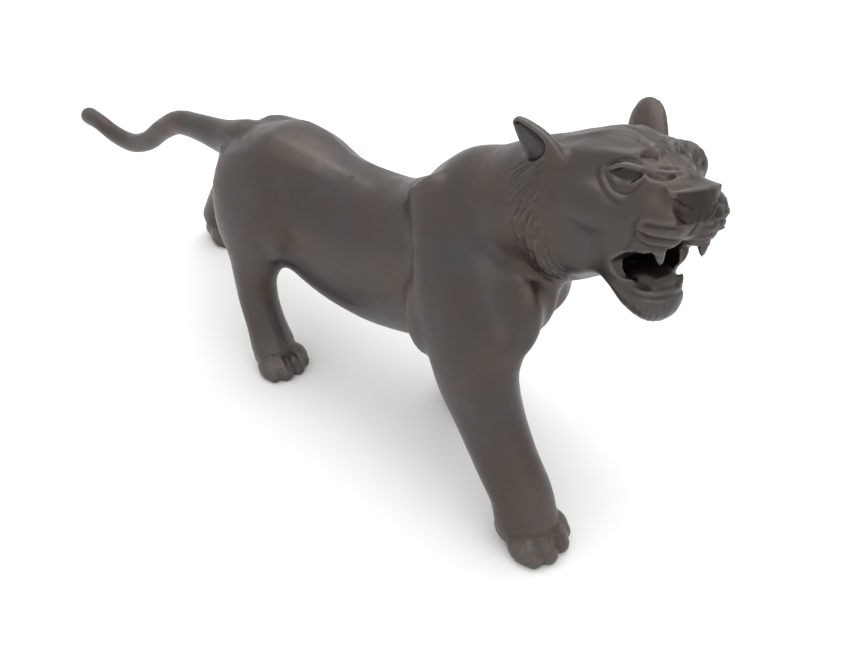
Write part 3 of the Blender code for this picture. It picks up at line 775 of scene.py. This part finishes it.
def hairOf(spots):  # per kind of hair: its share at each head point, and places across and along its strokes
    x, y, z = spots.T
    out = np.abs(y)
    ahead = offRuff(x, z)
    ruff = ramp(ahead, -15, -8) * ramp(-ahead, -9, -3) * ramp(out, 11, 17)
    ruff = ruff * ramp(-z, -18, -9) * ramp(z, -43, -36)
    throat = ramp(-z, 34, 41) * ramp(-x, 12, 20) * ramp(x, -46, -36)
    throat = throat * ramp(z, -68, -56) * ramp(-out, -21, -12)
    cheek = ramp(out, 14, 18) * ramp(-ahead, -16, -8) * ramp(ahead, 0, 5)
    cheek = cheek * ramp(-z, -6, 0) * ramp(z, -34, -26)
    earFoot = ramp(x, -31, -26) * ramp(-x, 3, 9) * ramp(out, 11, 15) * ramp(z, 14, 18)
    ears = np.maximum(earFoot, ramp(out, 20, 25) * ramp(z, 16, 20) * ramp(-x, 4, 9))
    leftPad = ramp(y, 2, 5) * ramp(x, 21, 26) * ramp(-z, -2, 3) * ramp(z, -20, -17)
    return {
        "ruff": (ruff, 0.75 * (x - z - z * z / 44), -1.2 * z - 0.8 * out),
        "throat": (throat, y - 0.7 * x * np.tanh(y / 6), z),
        "chin": (ramp(-z, 40, 43.5) * ramp(x, 2, 8), 13 * np.arctan2(y, x - 4), z),
        "brow": (ramp(y, 5, 8) * ramp(x, 4, 9) * ramp(z, 12, 15), 0.6 * x + 0.76 * y, 0.76 * x - 0.6 * y),
        "ears": (ears, 0.8 * x + 0.55 * z, -0.55 * x + 0.78 * z),
        "leftPad": (leftPad, z, y - x),
        "cheek": (cheek, 0.75 * (x - z - z * z / 44), -1.2 * z),
    }


def swayOf(spots):  # keeps the strokes from running straight
    size = strokes["swaySize"]
    return strokes["sway"] * latticeNoise(spots[:, 0] / size, spots[:, 2] / size, strokes["swaySeed"])


def engraved(mesh, head):  # hair cut into the skin as broad strokes
    points = pointsOf(mesh)
    normals = normalsOf(mesh)
    spots = inHead(points, head)
    rows = np.flatnonzero(np.linalg.norm(spots, axis=1) < strokes["reach"])
    spots = spots[rows]
    lift = np.zeros(len(rows))
    sway = swayOf(spots)
    for seed, (name, (share, across, along)) in enumerate(hairOf(spots).items()):
        wide, long, deep, _ = hairRegions[name]
        across = across + sway
        stroke = latticeNoise(across / wide * 2, along / long * 2, seed)
        branch = latticeNoise(across / wide * 4, along / long * 3, seed + strokes["branchSeed"])
        stroke += strokes["branches"] * branch
        lift += share * deep * np.clip(stroke, -1, strokes["flat"])
    points[rows] += normals[rows] * lift[:, None] * mm
    putPoints(mesh, points)


def markHair(mesh, head):  # keeps the fine hair for the finish: its strength and the place in its strokes
    spots = inHead(pointsOf(mesh), head)
    near = np.linalg.norm(spots, axis=1) < strokes["reach"]
    strong, across, along = (np.zeros(len(spots)) for _ in range(3))
    sway = swayOf(spots)
    for name, (share, over, down) in hairOf(spots).items():
        share = share * hairRegions[name][3] * near
        most = share > strong
        clear = np.abs(share - strong)  # fades out where two kinds meet, so that no seam shows
        strong = np.where(share > 0.01, clear, strong)
        across = np.where(most, over + sway, across)
        along = np.where(most, down, along)
    for name, values in (("hair", strong), ("across", across), ("along", along)):
        keep(mesh, name, values)


relief = {  # bend is above zero on ridges, which the finish wears light, and below zero in hollows; the eyes, mouth and nose pad are pushed below zero as painted shade
    "gain": 4,
    "rounds": 3,  # of evening out
    "even": 0.5,
    "mouth": -0.22,  # painted shade: bend given to the inside of the mouth, which darkens it
    # painted shade: bend given to the eyes, which darkens them
    "eye": -0.4,
    "eyeShadeReach": 1.2,  # reach of the eyes' painted shade, squared, in the ball's radii
    "nosePadShade": 1.38,  # painted shade on the nose's front: how far it is drawn below 1
}


def withPaintedShade(bend, mesh, head):  # paints shade into the eyes, nose pad and mouth: their bend goes below zero, so the finish darkens them
    x, y, z = inHead(pointsOf(mesh), head).T
    # painted shade inside the mouth
    shadedMouth = (x > -6) & (x < 30) & (np.abs(y) < 11.5) & (z > -36.5) & (z < -18.5)
    paintedShade = np.where(shadedMouth, relief["mouth"], 1)
    (ballX, ballY, ballZ), (long, wide, tall) = eye["ball"], eye["radii"]
    # painted shade over the eyes and the floor of their sockets
    for side in (-1, 1):
        across = (y - eyePlace(ballY, side)) / wide
        apart = ((x - ballX) / long) ** 2 + across**2 + ((z - ballZ) / tall) ** 2
        paintedShade = np.where(apart < relief["eyeShadeReach"], relief["eye"], paintedShade)
    # painted shade on the nose pad's front, which faces down
    shadedNosePad = ramp(x, 37.4, 38.8) * ramp(-z, -5.8, -4.8) * ramp(z, -9, -7) * ramp(-np.abs(y), -13, -11)
    paintedShade = np.minimum(paintedShade, 1 - relief["nosePadShade"] * shadedNosePad)
    return np.minimum(bend, paintedShade)


chisel = {  # how every line is worked
    "steps": 6,  # to each of its given points
    "reach": 3,  # half widths to either side
    "fullness": 1.6,  # above 1, more of the line is at full height
    "ends": 0.15,  # squared share of the height left there
}


def chased(mesh, lines, place):  # raises or sinks the skin along each line
    points = pointsOf(mesh)
    normals = normalsOf(mesh)
    bm = formFrom(mesh)
    tree = BVHTree.FromBMesh(bm)
    bm.free()
    lift = np.zeros(len(points))
    for wide, high, both, line in lines.values():
        for side in (1, -1) if both else (1,):
            rows = curveThrough(line, chisel["steps"] * len(line))
            spots = []
            for x, y, z in rows[:, :3]:
                spots.append(tree.find_nearest(place @ (Vector((x, y * side, z)) * mm))[0])
            spots = np.array(spots)
            reach = chisel["reach"] * wide * mm
            near = ((points > spots.min(axis=0) - reach) & (points < spots.max(axis=0) + reach)).all(axis=1)
            near = np.flatnonzero(near)
            gaps = np.linalg.norm(points[near, None] - spots[None], axis=2)
            t = gaps.argmin(axis=1) / (len(spots) - 1)
            taper = np.sin(math.pi * t) * chisel["fullness"] + chisel["ends"]
            taper = np.sqrt(np.clip(taper, 0, 1))
            lift[near] += high * mm * taper * np.exp(-((gaps.min(axis=1) / (wide * mm)) ** 2))
    putPoints(mesh, points + normals * lift[:, None])


def castForm(head, finish):  # the whole form, in three skins, then chased and engraved
    bm = bmesh.new()
    addTrunk(bm)
    addLegs(bm)
    addSkull(bm, head)
    form = fused(bm, *sculpting["body"])
    print("body and skull fused:", len(form.vertices), "points")
    bm = formFrom(form)
    addNosePad(bm, head)
    for side in (-1, 1):
        addEar(bm, head, side, False)
    for paw in body["paws"]:
        addPaw(bm, *paw)
    form = fused(bm, *sculpting["face"])
    form = cut(form, spacesOfFace(head))
    print("ears, nose and paws on, mouth and sockets cut:", len(form.vertices), "points")
    bm = formFrom(form)
    fur = grownFur(form, head, finish)
    print("fur locks:", len(fur.polygons), "faces")
    bm.from_mesh(fur)
    addSmallForms(bm, head)
    form = fused(bm, *sculpting["cast"])
    chased(form, modelling, figure)
    chased(form, chasing, head)
    engraved(form, head)
    return form


lightening = {  # the finished mesh, most of its triangles kept for the head
    "triangles": 185000,
    "middle": (0, 0, -6),  # of the head, in head millimetres
    "near": 60,  # within this distance lies the head
    "fade": 30,
    "headShare": 0.3,  # how readily its triangles are merged, 1 elsewhere
    "levels": 20,
    "weight": 0.002,
}


def lighter(mesh, head):  # merges triangles, the head's last
    points = pointsOf(mesh) / mm
    holder = linked("fine", mesh)
    group = holder.vertex_groups.new(name="plain")
    middle = np.array(head @ (Vector(lightening["middle"]) * mm)) / mm
    away = (np.linalg.norm(points - middle, axis=1) - lightening["near"]) / lightening["fade"]
    least, levels = lightening["headShare"], lightening["levels"]
    plain = least + (1 - least) * np.clip(away, 0, 1)
    for level in range(levels + 1):
        rows = np.flatnonzero(np.round(plain * levels) == level)
        if len(rows):
            group.add(rows.tolist(), level / levels, "REPLACE")
    modifier = holder.modifiers.new("Decimate", "DECIMATE")
    modifier.ratio = lightening["triangles"] / (2 * len(mesh.polygons))
    modifier.vertex_group = group.name
    modifier.vertex_group_factor = lightening["weight"]
    light = evaluated(holder)
    bpy.data.objects.remove(holder)
    return light


def linear(hexCode):  # sRGB hex to linear colour
    channels = [int(hexCode[k:k + 2], 16) / 255 for k in (1, 3, 5)]
    return (*[c / 12.92 if c <= 0.04045 else ((c + 0.055) / 1.055) ** 2.4 for c in channels], 1)


patina = {  # the finish, with its sizes in millimetres
    "brown": "#4d4744",
    "rust": "#514742",
    "slate": "#4b4948",
    "patch": 28,  # size of the rust and slate patches
    # worn: light colour of rubbed ridges, also painted along the hair strokes as glints
    "wornAndGlint": "#625d5a",
    "wear": 0.75,  # how far the sharpest ridges are worn
    # pit: dark patina of the hollows, and the painted shade of the eyes, mouth and nose pad; fill is how far
    # both are darkened
    "pitAndPaintedShade": "#2a2522",
    "fill": 0.85,  # how far the deepest hollows are filled
    "brass": "#86714c",
    "chips": 42,  # between the spots where bare metal shows
    "chipped": 0.6,  # how bare they are
    "rubbed": 0.2,  # how bare the rubbed spots on the paws are
    "mottle": 2.2,  # size of the rubbed spots
    "rubbedTo": 26,  # height at which the rubbing ends
    "rubbedFrom": 12,  # height where it starts to fade
    "strandsAcross": 1.7,  # fine hair strokes to a millimetre, across and along
    "strandsAlong": 0.2,
    "strandDepth": 0.5,
    "grain": 0.9,  # size of the casting's grain
    "grainDepth": 0.08,
    "grainStrength": 0.25,
    "streaks": (30, 60, 480),  # in the wax, to a metre along X, Y and Z
    "smoothest": 0.33,
    "roughest": 0.45,
    "streaky": 0.05,  # what a streak adds or takes
    "metallic": 0.9,
}


def span(tree, value, low, high, least=0, most=1, ease="LINEAR"):  # takes low to least and high to most
    sockets = {"Value": value, "From Min": low, "From Max": high, "To Min": least, "To Max": most}
    return node(tree, "ShaderNodeMapRange", {"interpolation_type": ease}, sockets).outputs[0]


def blended(tree, share, under, over):  # a share of one colour over another
    sockets = {"Factor": share, 6: under, 7: over}
    return node(tree, "ShaderNodeMix", {"data_type": "RGBA"}, sockets).outputs[2]


def noise(tree, place, scale, detail, roughness=0.5):
    sockets = {"Vector": place, "Scale": scale, "Detail": detail, "Roughness": roughness}
    return node(tree, "ShaderNodeTexNoise", {}, sockets).outputs["Fac"]


def stored(tree, name):  # a number kept on each point of the mesh
    return node(tree, "ShaderNodeAttribute", {"attribute_name": name}).outputs["Fac"]


def patinatedBronze():
    # Cast bronze under a dark brown patina, waxed: satin sheen, reddish and slate patches, ridges worn
    # light; painted glints on the hair strokes, painted shade in the eyes, mouth and nose pad
    material = bpy.data.materials.new("patinatedBronze")
    material.use_nodes = True
    tree = material.node_tree
    surface = tree.nodes["Principled BSDF"]
    place = node(tree, "ShaderNodeTexCoord").outputs["Object"]
    perMetre = 1 / mm
    patches = noise(tree, place, perMetre / patina["patch"], 3, 0.55)
    rusty = span(tree, patches, 0.5, 0.68, ease="SMOOTHSTEP")
    slaty = span(tree, patches, 0.5, 0.34, ease="SMOOTHSTEP")
    skin = blended(tree, rusty, linear(patina["brown"]), linear(patina["rust"]))
    skin = blended(tree, slaty, skin, linear(patina["slate"]))

    hair = stored(tree, "hair")
    across = product(tree, stored(tree, "across"), patina["strandsAcross"])
    along = product(tree, stored(tree, "along"), patina["strandsAlong"])
    combed = node(tree, "ShaderNodeCombineXYZ", {}, {"X": across, "Y": along}).outputs[0]
    strands = noise(tree, combed, 1, 2)
    # painted highlight: glints along the crests of the hair strokes
    glint = product(tree, span(tree, strands, 0.56, 0.72), hair)

    bend = stored(tree, "bend")
    ridge = span(tree, bend, 0.06, 0.5, most=patina["wear"])
    # ridges worn light, joined by the painted glints of the hair
    ridge = node(tree, "ShaderNodeMath", {"operation": "MAXIMUM"}, {0: ridge, 1: glint}).outputs[0]
    # dark patina in the hollows, with painted shade in the eyes, mouth and nose pad
    creaseAndPaintedShade = span(tree, bend, -0.05, -0.5, most=patina["fill"])
    skin = blended(tree, ridge, skin, linear(patina["wornAndGlint"]))
    skin = blended(tree, creaseAndPaintedShade, skin, linear(patina["pitAndPaintedShade"]))

    chips = node(tree, "ShaderNodeTexVoronoi", {}, {"Vector": place, "Scale": perMetre / patina["chips"]})
    bare = span(tree, chips.outputs["Distance"], 0.02, 0.008, most=patina["chipped"])
    skin = blended(tree, bare, skin, linear(patina["brass"]))
    height = node(tree, "ShaderNodeSeparateXYZ", {}, {0: place}).outputs["Z"]
    foot = span(tree, height, patina["rubbedTo"] * mm, patina["rubbedFrom"] * mm, most=patina["rubbed"])
    mottle = noise(tree, place, perMetre / patina["mottle"], 3)
    bare = product(tree, foot, span(tree, mottle, 0.52, 0.68))
    skin = blended(tree, bare, skin, linear(patina["brass"]))
    tree.links.new(skin, surface.inputs["Base Color"])

    stretched = node(tree, "ShaderNodeMapping", {}, {"Vector": place, "Scale": patina["streaks"]})
    streaks = noise(tree, stretched.outputs[0], 1, 4, 0.6)
    rough = span(tree, patches, 0.3, 0.7, patina["smoothest"], patina["roughest"])
    streaked = span(tree, streaks, 0.35, 0.65, -patina["streaky"], patina["streaky"])
    roughness = node(tree, "ShaderNodeMath", {"operation": "ADD"}, {0: rough, 1: streaked})
    tree.links.new(roughness.outputs[0], surface.inputs["Roughness"])

    speckle = noise(tree, place, perMetre / patina["grain"], 2)
    sockets = {"Height": speckle, "Strength": patina["grainStrength"], "Distance": patina["grainDepth"] * mm}
    grain = node(tree, "ShaderNodeBump", {}, sockets)
    sockets = {"Height": product(tree, strands, hair), "Strength": 1.0, "Normal": grain.outputs[0]}
    sockets["Distance"] = patina["strandDepth"] * mm
    hairy = node(tree, "ShaderNodeBump", {}, sockets)
    tree.links.new(hairy.outputs[0], surface.inputs["Normal"])
    surface.inputs["Metallic"].default_value = patina["metallic"]
    return material


def bendOf(mesh):  # how much the skin bulges (above zero) or dips (below zero) at each point
    points = pointsOf(mesh)
    edges = edgesOf(mesh)
    normals = normalsOf(mesh)
    spans = np.linalg.norm(points[edges[:, 0]] - points[edges[:, 1]], axis=1)
    count = np.bincount(edges.ravel(), minlength=len(points))
    step = np.bincount(edges.ravel(), np.repeat(spans, 2), len(points)) / np.maximum(count, 1)
    lift = ((points - neighbourMean(points, edges)) * normals).sum(axis=1)
    bend = (lift / np.maximum(step, 1e-6))[:, None]
    for _ in range(relief["rounds"]):
        around = neighbourMean(np.repeat(bend, 3, axis=1), edges)[:, :1]
        bend = (1 - relief["even"]) * bend + relief["even"] * around
    return bend[:, 0] * relief["gain"]


paper = {  # the sheet it stands on
    "colour": "#f1f1f0",
    "roughness": 0.95,
    "sheen": 0.1,
    "size": 6,  # metres from its middle to its edge
}

lighting = {  # a white room and softboxes: name, place in metres, watts, size in metres
    "room": 1.05,
    "softboxes": (
        ("overhead", (-0.1, 0.25, 1.2), 8.5, 1.3),
        ("front", (0.9, -0.5, 0.9), 1.8, 0.9),
    ),
    "aim": (0, 0, 0.1),
}


def studio():
    bm = bmesh.new()
    bmesh.ops.create_grid(bm, x_segments=1, y_segments=1, size=paper["size"])
    floor = linked("floor", meshFrom(bm, "floor"))
    sheet = bpy.data.materials.new("matPaperSweep")  # matt white paper, bright and without a sheen
    sheet.use_nodes = True
    surface = sheet.node_tree.nodes["Principled BSDF"]
    surface.inputs["Base Color"].default_value = linear(paper["colour"])
    surface.inputs["Roughness"].default_value = paper["roughness"]
    surface.inputs["Specular IOR Level"].default_value = paper["sheen"]
    floor.data.materials.append(sheet)
    world = bpy.data.worlds.new("studio")
    world.use_nodes = True
    backdrop = world.node_tree.nodes["Background"]
    backdrop.inputs["Color"].default_value = (1, 1, 1, 1)
    backdrop.inputs["Strength"].default_value = lighting["room"]
    bpy.context.scene.world = world
    for name, place, power, size in lighting["softboxes"]:
        lamp = bpy.data.lights.new(name, "AREA")
        lamp.energy = power
        lamp.size = size
        box = linked(name, lamp)
        box.location = place
        aim = Vector(lighting["aim"]) - Vector(place)
        box.rotation_euler = aim.to_track_quat("-Z", "Y").to_euler()


shot = {  # the photograph's view
    "place": (0.334, -0.344, 0.371),  # metres from the figure's own origin, before it is centred
    "pan": 131.7,
    "tilt": -34.5,
    "lens": 45,
    "sensor": 36,
    "nearest": 0.01,
}


def photographed(shift):  # the camera, moved as far as the figure was
    lens = bpy.data.cameras.new("view")
    lens.lens = shot["lens"]
    lens.sensor_width = shot["sensor"]
    lens.clip_start = shot["nearest"]
    camera = linked("view", lens)
    bpy.context.scene.camera = camera
    pan, tilt = math.radians(shot["pan"]), math.radians(shot["tilt"])
    aim = Vector((math.cos(tilt) * math.cos(pan), math.cos(tilt) * math.sin(pan), math.sin(tilt)))
    camera.location = Vector(shot["place"]) + shift
    camera.rotation_euler = aim.to_track_quat("-Z", "Y").to_euler()


def fitted(mesh):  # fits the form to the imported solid's box, and returns how far it moved
    points = pointsOf(mesh)
    low, high = points.min(axis=0), points.max(axis=0)
    cadLow, cadHigh = (np.array(corner) for corner in cadBox)
    scale = (cadHigh - cadLow) / (high - low)
    putPoints(mesh, (points - low) * scale + cadLow)
    return Vector(cadLow - low * scale)


finish = patinatedBronze()
head = headMatrix()
casting = castForm(head, finish)
print("cast form:", len(casting.vertices), "points")
casting = flatSoled(lighter(casting, head))
# bend of the skin, with painted shade put into the eyes, mouth and nose pad
bend = withPaintedShade(bendOf(casting), casting, head)
markHair(casting, head)
shift = fitted(casting)
keep(casting, "bend", bend)
casting.materials.clear()
casting.materials.append(finish)
casting.shade_smooth()
casting.name = "tigerCasting"
tiger = linked("tigerCasting", casting)
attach(tiger, "root")
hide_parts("tiger")
print("finished casting:", len(casting.polygons), "triangles")

photographed(shift)
studio()
print("camera, floor and lights placed")
bpy.context.scene.view_settings.view_transform = "Standard"
